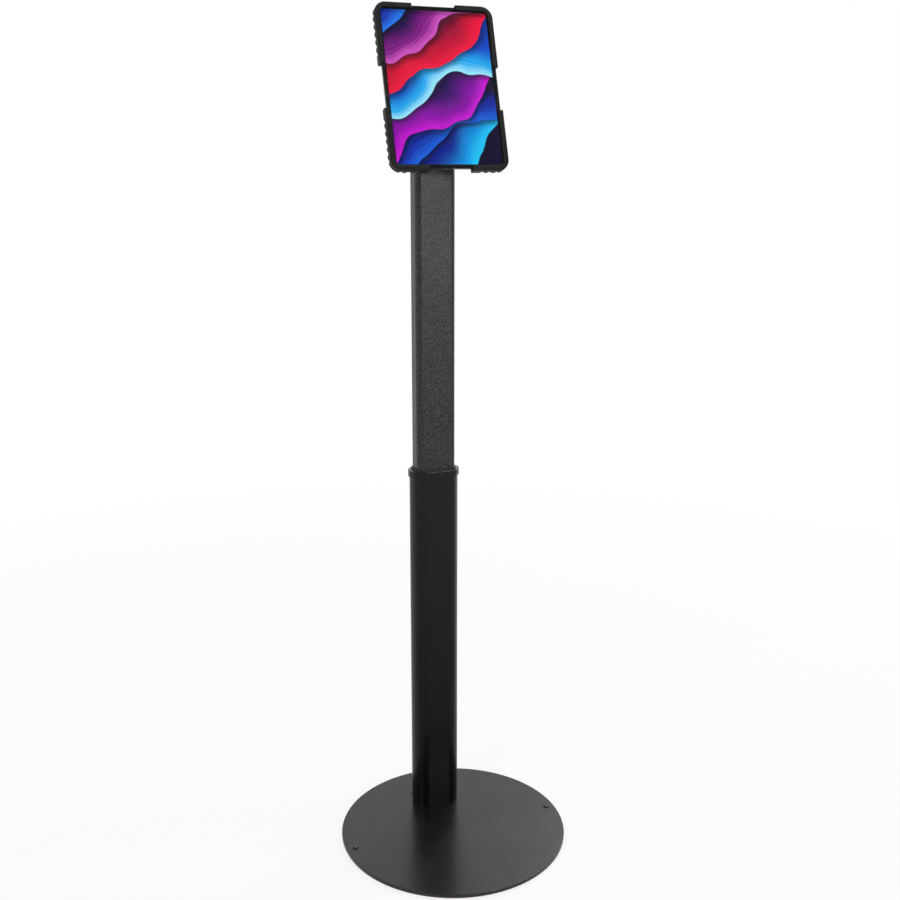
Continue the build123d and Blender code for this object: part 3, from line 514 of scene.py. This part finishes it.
# %% The head's own directions
glass_before_axis = 0.047
cradle_turn = next(j for j in frame["record"]["behaviour"]["joints"] if j["name"] == "cradle_turn")
facing = Vector(cradle_turn["axis"]).normalized()
head_up = facing.cross(Vector((1, 0, 0))).normalized()
glass_centre = Vector(cradle_turn["pos_m"]) + facing * glass_before_axis
head_matrix = Matrix(((1, head_up.x, facing.x), (0, head_up.y, facing.y), (0, head_up.z, facing.z)))
head_turn = tuple(head_matrix.to_euler())
head_frame = Matrix.Translation(glass_centre) @ head_matrix.to_4x4()
print("glass centre", tuple(round(v, 4) for v in glass_centre))
print("facing", tuple(round(v, 3) for v in facing))

# %% [markdown]
# The tablet's case is bead blasted aluminium: a fine matt metal, never quite even. Under the cover glass
# its front face is the black border of the display, with a small camera in it. A mask made from the
# height above the case's back turns the metal into that border, so that one solid can carry both.

# %% Finish: tablet case
border_from = -0.0012
lens_y = 0.1182
lens_r = 0.0016
tree, shader, vector, _ = new_finish("tablet_metal", centre=tuple(glass_centre), turn=head_turn)
height = node(tree, "ShaderNodeSeparateXYZ", {"Vector": vector}).outputs["Z"]
front = maths(tree, "GREATER_THAN", height, border_from)
flat_vector = node(tree, "ShaderNodeMapping", {"Vector": vector, "Scale": (1, 1, 0)}).outputs["Vector"]
pair = {0: flat_vector, 1: (0, lens_y, 0)}
away = node(tree, "ShaderNodeVectorMath", pair, operation="DISTANCE").outputs["Value"]
lens_mask = maths(tree, "MULTIPLY", front, maths(tree, "LESS_THAN", away, lens_r))
blast = noise(tree, vector, 3200.0, 2.0, 0.6)
clouds = noise(tree, vector, 35.0, 2.0)
metal = blend_colour(tree, clouds, (0.24, 0.25, 0.27, 1.0), (0.32, 0.33, 0.35, 1.0))
cased = blend_colour(tree, front, metal, grey(0.0012))
tree.links.new(blend_colour(tree, lens_mask, cased, (0.004, 0.006, 0.014, 1.0)), shader["Base Color"])
tree.links.new(maths(tree, "SUBTRACT", 1.0, front), shader["Metallic"])
tree.links.new(ramp(tree, blast, 0.3, 0.7, 0.32, 0.44), shader["Roughness"])
tree.links.new(bump(tree, blast, 0.000006), shader["Normal"])
print("finish tablet_metal, black border from", border_from, "m")

# %% [markdown]
# The display is lit, so its colours are emission at a strength of 1, which shows them as they are written.
# The picture is a plain one of our own: folds of silk that lie over each other like waves, in crimson,
# violet, blue and cyan on a dark ground. It could be a picture file, but a pattern from nodes stays sharp
# at any distance and needs no file. One group draws a fold: a wavy edge, a bright crest along it, fine
# threads beside the crest, a faint weft, and a shadow on the fold below.

# %% Group: one fold of silk
silk_fold, start, end = shader_group(
    "silk_fold",
    [
        ("Along", FLOAT, 0.0),
        ("Across", FLOAT, 0.0),
        ("Edge", FLOAT, 0.0),
        ("Lean", FLOAT, 0.0),
        ("Swing", FLOAT, 0.01),
        ("Waves", FLOAT, 30.0),
        ("Phase", FLOAT, 0.0),
        ("Width", FLOAT, 0.05),
        ("Crest", COLOUR, None),
        ("Body", COLOUR, None),
        ("Deep", COLOUR, None),
        ("Below", COLOUR, None),
    ],
    [("Colour", COLOUR)],
)
tree = silk_fold
angle = maths(tree, "ADD", maths(tree, "MULTIPLY", start["Along"], start["Waves"]), start["Phase"])
swing = maths(tree, "MULTIPLY", maths(tree, "SINE", angle), start["Swing"])
lean = maths(tree, "MULTIPLY", start["Along"], start["Lean"])
edge = maths(tree, "ADD", maths(tree, "ADD", swing, lean), start["Edge"])
inside = maths(tree, "SUBTRACT", start["Across"], edge)
share_in = maths(tree, "DIVIDE", inside, start["Width"])
first = ramp(tree, share_in, 0.0, 0.4, smooth=True)
second = ramp(tree, share_in, 0.25, 1.1, smooth=True)
lit = blend_colour(tree, first, start["Crest"], start["Body"])
lit = blend_colour(tree, second, lit, start["Deep"])
twist = maths(tree, "MULTIPLY", maths(tree, "SINE", maths(tree, "MULTIPLY", angle, 1.7)), 3.0)
thread = maths(tree, "SINE", maths(tree, "ADD", maths(tree, "MULTIPLY", share_in, 46.0), twist))
thread = maths(tree, "MULTIPLY", ramp(tree, thread, 0.55, 1.0), ramp(tree, share_in, 0.75, 0.02))
lit = blend_colour(tree, maths(tree, "MULTIPLY", thread, 0.5), lit, start["Crest"])
weft = maths(tree, "ADD", maths(tree, "MULTIPLY", share_in, 117.0), maths(tree, "MULTIPLY", twist, 2.3))
weft = ramp(tree, maths(tree, "SINE", weft), 0.2, 1.0)
weft = maths(tree, "MULTIPLY", weft, ramp(tree, share_in, 1.1, 0.1, 0.0, 0.3))
lit = blend_colour(tree, weft, lit, start["Deep"])
shade = ramp(tree, inside, -0.014, 0.0, 0.0, 0.7, smooth=True)
shaded = blend_colour(tree, shade, start["Below"], (0.0, 0.0, 0.004, 1.0))
mask = ramp(tree, inside, -0.0002, 0.0004, smooth=True)
tree.links.new(blend_colour(tree, mask, shaded, lit), end["Colour"])

# %% [markdown]
# The folds are laid on from the back to the front. Each takes the colour so far as what lies below it, so
# the loop hands the colour on from fold to fold. A slow noise bends all the edges a little.

# %% Finish: lit display
picture_turn = radians(-32)
tree, shader, vector, _ = new_finish(
    "screen", {"Roughness": 0.4, "Emission Strength": 1.0}, centre=tuple(glass_centre), turn=head_turn
)
sockets = {"Vector": vector, "Rotation": (0, 0, picture_turn)}
turned = node(tree, "ShaderNodeMapping", sockets).outputs["Vector"]
drift = noise(tree, turned, 15.0, 1.0)
ways = node(tree, "ShaderNodeSeparateXYZ", {"Vector": turned}).outputs
across = maths(tree, "ADD", ways["Y"], ramp(tree, drift, 0, 1, -0.022, 0.022))
ground = ramp(tree, across, -0.12, 0.14)
colour = blend_colour(tree, ground, screen_colour(10, 0, 45), screen_colour(90, 0, 120))
folds = [
    (-0.112, 0.30, 0.012, 34.0, 0.4, 0.060, (30, 205, 255), (9, 150, 232), (10, 30, 140)),
    (-0.074, -0.10, 0.014, 28.0, 2.1, 0.050, (22, 100, 226), (10, 40, 170), (8, 0, 44)),
    (-0.040, 0.16, 0.016, 30.0, 4.4, 0.052, (206, 14, 214), (140, 0, 170), (44, 0, 96)),
    (-0.004, -0.14, 0.013, 36.0, 0.9, 0.044, (160, 238, 255), (14, 176, 244), (8, 70, 200)),
    (0.030, 0.10, 0.015, 26.0, 3.2, 0.060, (246, 16, 62), (206, 4, 50), (92, 0, 50)),
    (0.072, -0.12, 0.012, 33.0, 5.3, 0.046, (214, 84, 196), (128, 14, 130), (30, 0, 76)),
    (0.104, 0.14, 0.012, 29.0, 1.4, 0.050, (34, 120, 240), (12, 44, 170), (4, 0, 30)),
]
for edge, lean, swing, waves, phase, width, crest, body, deep in folds:
    sockets = {
        "Along": ways["X"],
        "Across": across,
        "Edge": edge,
        "Lean": lean,
        "Swing": swing,
        "Waves": waves,
        "Phase": phase,
        "Width": width,
        "Crest": screen_colour(*crest),
        "Body": screen_colour(*body),
        "Deep": screen_colour(*deep),
        "Below": colour,
    }
    colour = use_group(tree, silk_fold, sockets)["Colour"]
tree.links.new(colour, shader["Emission Color"])
tree.links.new(blend_colour(tree, drift, grey(0.0015), grey(0.002)), shader["Base Color"])
print("display with", len(folds), "folds")

# %% [markdown]
# The cover glass is real glass: light passes through it, and only its polished faces shine. Finger marks
# change its roughness a little.

# %% Finish: cover glass
tree, shader, vector, _ = new_finish(
    "cover_glass", {"Transmission Weight": 1.0, "IOR": 1.45, "Base Color": grey(1.0)}
)
marks = ramp(tree, noise(tree, vector, 38.0, 4.0, 0.6), 0.55, 0.8, 0.0, 0.035)
tree.links.new(marks, shader["Roughness"])
print("finish cover_glass")

# %% [markdown]
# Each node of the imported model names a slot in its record, and the finish of that name goes into the
# node's material slot. Only the plugs have a finish of their own. The meshes themselves aren't touched.

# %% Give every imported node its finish
finish_of = {part["node"]: part["material_slot"] for part in frame["record"]["subparts"]}
finish_of["hole_plugs"] = "plug_plastic"
for name, packed in frame["nodes"].items():
    for index in range(len(packed.data.materials)):
        packed.data.materials[index] = finishes[finish_of[name]]
    if not packed.data.materials:
        packed.data.materials.append(finishes[finish_of[name]])
print("finished", len(finish_of), "nodes with", len(finishes), "finishes")

# %% [markdown]
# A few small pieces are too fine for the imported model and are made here. What repeats is grown by Geometry
# Nodes. The tree is built in the script and has named inputs for its sizes. A modifier runs it once, the
# result becomes a plain mesh, and the modifier goes again, so that the piece is like any other.


# %% Helpers: grow a piece with Geometry Nodes
COUNT = "NodeSocketInt"


def growing_tree(name, inputs):
    """A Geometry Nodes tree with named inputs and a material, and its two end nodes."""
    tree = bpy.data.node_groups.new(name, "GeometryNodeTree")
    for label, kind in {**inputs, "Material": "NodeSocketMaterial"}.items():
        tree.interface.new_socket(label, in_out="INPUT", socket_type=kind)
    tree.interface.new_socket("Geometry", in_out="OUTPUT", socket_type="NodeSocketGeometry")
    return tree, tree.nodes.new("NodeGroupInput").outputs, tree.nodes.new("NodeGroupOutput").inputs


def finish_tree(tree, start, end, geometry):
    """Ends a tree: instances become real, shading turns smooth, and the material is set."""
    real = node(tree, "GeometryNodeRealizeInstances", {"Geometry": geometry}).outputs["Geometry"]
    smooth = node(tree, "GeometryNodeSetShadeSmooth", {"Geometry": real}).outputs["Geometry"]
    dressed = node(tree, "GeometryNodeSetMaterial", {"Geometry": smooth, "Material": start["Material"]})
    tree.links.new(dressed.outputs["Geometry"], end["Geometry"])


def ride_on(piece, body):
    """Hands a finished piece to its body."""
    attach(piece, body)
    print("piece", piece.name, len(piece.data.polygons), "faces on", body)


def grown_mesh(tree, values, slot):
    """Runs a tree once with its values and gives the result as a plain mesh."""
    carrier = bpy.data.objects.new(tree.name + "_carrier", bpy.data.meshes.new(tree.name + "_carrier"))
    scene.collection.objects.link(carrier)
    modifier = carrier.modifiers.new("grow", "NODES")
    modifier.node_group = tree
    sockets = [item for item in tree.interface.items_tree if item.in_out == "INPUT"]
    identifier = {item.name: item.identifier for item in sockets}
    for label, value in {**values, "Material": finishes[slot]}.items():
        modifier[identifier[label]] = value
    evaluated = carrier.evaluated_get(bpy.context.evaluated_depsgraph_get())
    mesh = bpy.data.meshes.new_from_object(evaluated)
    bpy.data.objects.remove(carrier)
    return mesh


def piece_of(name, meshes_and_places):
    """One piece at the origin from one or more meshes, each moved to its place."""
    whole = bmesh.new()
    for mesh, place in meshes_and_places:
        copy = mesh.copy()
        copy.transform(place)
        whole.from_mesh(copy)
        bpy.data.meshes.remove(copy)
    joined = meshes_and_places[0][0].copy()
    whole.to_mesh(joined)
    whole.free()
    joined.name = name
    piece = bpy.data.objects.new(name, joined)
    scene.collection.objects.link(piece)
    return piece


# %% [markdown]
# The threaded boss of the height lock is welded to the lower tube's rear wall. A weld laid by hand is a row
# of overlapping ripples, each a flattened drop turned along the seam, so the tree puts drops on a circle.

# %% Weld round the lock's boss
weld_inputs = {"Ring": FLOAT, "Drop": FLOAT, "Count": COUNT, "Flat": VECTOR}
weld_tree, start, end = growing_tree("weld_ripples", weld_inputs)
sockets = {"Resolution": start["Count"], "Radius": start["Ring"]}
ring = node(weld_tree, "GeometryNodeCurvePrimitiveCircle", sockets)
drop = node(weld_tree, "GeometryNodeMeshIcoSphere", {"Radius": start["Drop"], "Subdivisions": 2})
along = node(weld_tree, "GeometryNodeInputTangent").outputs["Tangent"]
sockets = {"Vector": along}
turned = node(weld_tree, "FunctionNodeAlignRotationToVector", sockets, axis="X").outputs["Rotation"]
sockets = {"Points": ring.outputs["Curve"], "Instance": drop.outputs["Mesh"]}
sockets.update({"Rotation": turned, "Scale": start["Flat"]})
ripples = node(weld_tree, "GeometryNodeInstanceOnPoints", sockets).outputs["Instances"]
finish_tree(weld_tree, start, end, ripples)

boss_low, boss_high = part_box("lock_boss")
boss_radius = (boss_high.x - boss_low.x) / 2
boss_root = Vector(((boss_low.x + boss_high.x) / 2, boss_low.y, (boss_low.z + boss_high.z) / 2))
drop_radius = 0.0019
ring_outside = 0.0003
drop_count = 30
drop_shape = (0.75, 1.0, 0.8)
weld_values = {"Ring": boss_radius + ring_outside, "Drop": drop_radius, "Count": drop_count}
weld_values["Flat"] = drop_shape
weld_mesh = grown_mesh(weld_tree, weld_values, "tube_coat")
backward = Matrix.Rotation(radians(-90), 4, "X")
boss_weld = piece_of("boss_weld", [(weld_mesh, Matrix.Translation(boss_root) @ backward)])
ride_on(boss_weld, "stand")

# %% [markdown]
# Between the boss and the knob a short stretch of the stud's thread shows. It is a ridge along a spiral:
# the tree sweeps a small three-sided profile along a spiral curve and closes its ends.

# %% Thread of the lock's stud
points_per_turn = 40
thread_inputs = {"Radius": FLOAT, "Ridge": FLOAT, "Turns": FLOAT, "Length": FLOAT}
thread_tree, start, end = growing_tree("stud_ridge", thread_inputs)
sockets = {"Resolution": points_per_turn, "Rotations": start["Turns"], "Height": start["Length"]}
sockets.update({"Start Radius": start["Radius"], "End Radius": start["Radius"]})
spiral = node(thread_tree, "GeometryNodeCurveSpiral", sockets).outputs["Curve"]
profile = node(thread_tree, "GeometryNodeCurvePrimitiveCircle", {"Resolution": 3, "Radius": start["Ridge"]})
sockets = {"Curve": spiral, "Profile Curve": profile.outputs["Curve"], "Fill Caps": True}
finish_tree(thread_tree, start, end, node(thread_tree, "GeometryNodeCurveToMesh", sockets).outputs["Mesh"])

lock_knob_low, lock_knob_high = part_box("lock_knob")
stud_low, stud_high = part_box("lock_stud")
stud_radius = (stud_high.x - stud_low.x) / 2
ridge = 0.00035
thread_turns = 1.5
end_gap = 2 * ridge
free_length = lock_knob_low.y - boss_high.y - 2 * end_gap
thread_values = {"Radius": stud_radius, "Ridge": ridge, "Turns": thread_turns, "Length": free_length}
thread_mesh = grown_mesh(thread_tree, thread_values, "zinc_steel")
thread_start = Vector((boss_root.x, boss_high.y + end_gap, boss_root.z))
stud_thread = piece_of("stud_thread", [(thread_mesh, Matrix.Translation(thread_start) @ backward)])
ride_on(stud_thread, "height_lock")

# %% [markdown]
# The tablet's short edges have rows of small sound holes, and the lower one has the charging port between
# them. At this size a hole shows only the shade inside it, so each hole is painted shade: a thin dark disc
# that lies on the metal where that shade would be. The discs are small cylinders on a mesh line, and one row
# is grown and then placed four times.

# %% Sound holes as painted shade
disc_sides = 14
hole_inputs = {"Count": COUNT, "Pitch": VECTOR, "Radius": FLOAT, "Depth": FLOAT}
hole_tree, start, end = growing_tree("hole_shade_row", hole_inputs)
sockets = {"Count": start["Count"], "Offset": start["Pitch"]}
row = node(hole_tree, "GeometryNodeMeshLine", sockets).outputs["Mesh"]
sockets = {"Vertices": disc_sides, "Radius": start["Radius"], "Depth": start["Depth"]}
disc = node(hole_tree, "GeometryNodeMeshCylinder", sockets).outputs["Mesh"]
sockets = {"Points": row, "Instance": disc}
holes = node(hole_tree, "GeometryNodeInstanceOnPoints", sockets).outputs["Instances"]
finish_tree(hole_tree, start, end, holes)

case_half_high = 0.12125
edge_middle = -0.0034
hole_pitch, hole_count, first_hole = 0.0028, 7, 0.0115
hole_radius = 0.0007
disc_t = 0.00012
row_values = {"Count": hole_count, "Pitch": (hole_pitch, 0, 0), "Radius": hole_radius, "Depth": disc_t}
# Painted shade: each hole is a thin disc in the dark rubber finish, laid on the metal in place of the shade
# inside the hole.
shade_row_mesh = grown_mesh(hole_tree, row_values, "rubber")
rows = []
for side in (-1, 1):
    for first in (first_hole, -first_hole - (hole_count - 1) * hole_pitch):
        spot = Matrix.Translation((first, side * case_half_high, edge_middle))
        rows.append((shade_row_mesh, head_frame @ spot @ Matrix.Rotation(radians(90), 4, "X")))
ride_on(piece_of("sound_hole_painted_shade", rows), "cradle")

# %% [markdown]
# The port is one slot with round ends, so it needs no tree. It too is painted shade: a thin dark slot on the
# metal where the shade inside the port would be. Extruding a face would do, but the order of the new faces
# could change from run to run. So the outline, round two half circles, is laid out once below and once
# above, the discs' thickness apart, and faces close the two ends and the side.

# %% Charging port as painted shade
port_half_w, port_r, port_points = 0.0045, 0.0015, 24


def slot_rim(shape, height):
    """The points of the port's outline at a height."""
    rim = []
    for step in range(port_points):
        angle = 2 * pi * (step + 0.5) / port_points
        middle = (port_half_w - port_r) * (1 if cos(angle) > 0 else -1)
        rim.append(shape.verts.new((middle + port_r * cos(angle), port_r * sin(angle), height)))
    return rim


port = bmesh.new()
low_rim = slot_rim(port, -disc_t / 2)
high_rim = slot_rim(port, disc_t / 2)
port.faces.new(list(reversed(low_rim)))
port.faces.new(high_rim)
for step in range(port_points):
    after = (step + 1) % port_points
    port.faces.new((low_rim[step], low_rim[after], high_rim[after], high_rim[step]))
port_shade_mesh = bpy.data.meshes.new("charging_port_shade")
port.to_mesh(port_shade_mesh)
port.free()
# Painted shade: the slot takes the dark rubber finish in place of the shade inside the port.
port_shade_mesh.materials.append(finishes["rubber"])
port_spot = Matrix.Translation((0, -case_half_high, edge_middle))
port_place = head_frame @ port_spot @ Matrix.Rotation(radians(90), 4, "X")
ride_on(piece_of("charging_port_shade", [(port_shade_mesh, port_place)]), "cradle")

# %% [markdown]
# Each clamp knob ends in a cap that closes the hole of its insert. It is a turned form. A Screw modifier
# could turn it, but the mesh is only a fan and a few rings, so a profile of a few points, from the middle
# to the rim, is run round the knob's axis in a loop and closed underneath.


# %% Caps on the two knobs
def turned_mesh(name, profile, slot, steps=48):
    """A closed mesh from a profile of radius and height that is run round +Z."""
    shape = bmesh.new()
    top = shape.verts.new((0, 0, profile[0][1]))
    angles = [2 * pi * step / steps for step in range(steps)]
    rings = []
    for radius, height in profile[1:]:
        rings.append([shape.verts.new((radius * cos(a), radius * sin(a), height)) for a in angles])
    for step in range(steps):
        after = (step + 1) % steps
        shape.faces.new((top, rings[0][step], rings[0][after]))
        for inner, outer in zip(rings, rings[1:]):
            shape.faces.new((inner[step], outer[step], outer[after], inner[after]))
    shape.faces.new(list(reversed(rings[-1])))
    bmesh.ops.recalc_face_normals(shape, faces=shape.faces)
    mesh = bpy.data.meshes.new(name)
    shape.to_mesh(mesh)
    shape.free()
    mesh.materials.append(finishes[slot])
    for face in mesh.polygons:
        face.use_smooth = len(face.vertices) < steps
    return mesh


def cap_profile(radius, proud):
    """A dished cap: a flat middle, a slope up to a round rim, and a foot that sinks into the knob."""
    dish_shares = [(0, 0.55), (0.62, 0.55), (0.74, 0.78), (0.84, 0.97)]
    rim_shares = [(0.92, 1.0), (0.97, 0.86), (1.0, 0.5), (1.0, -0.1)]
    return [(radius * r, proud * h) for r, h in dish_shares + rim_shares]


tilt_knob_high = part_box("tilt_knob")[1]
knob_axis = Vector(knob_middle)
lock_cap_r, lock_cap_h = 0.0105, 0.0012
tilt_cap_r, tilt_cap_h = 0.0062, 0.0009
sideways = Matrix.Rotation(radians(90), 4, "Y")
lock_cap_place = Matrix.Translation((boss_root.x, lock_knob_high.y, boss_root.z)) @ backward
tilt_cap_place = Matrix.Translation((tilt_knob_high.x, knob_axis.y, knob_axis.z)) @ sideways
lock_cap = turned_mesh("lock_cap_shape", cap_profile(lock_cap_r, lock_cap_h), "trim_plastic")
tilt_cap = turned_mesh("tilt_cap_shape", cap_profile(tilt_cap_r, tilt_cap_h), "trim_plastic")
ride_on(piece_of("lock_knob_cap", [(lock_cap, lock_cap_place)]), "height_lock")
ride_on(piece_of("tilt_knob_cap", [(tilt_cap, tilt_cap_place)]), "tilt_lock")
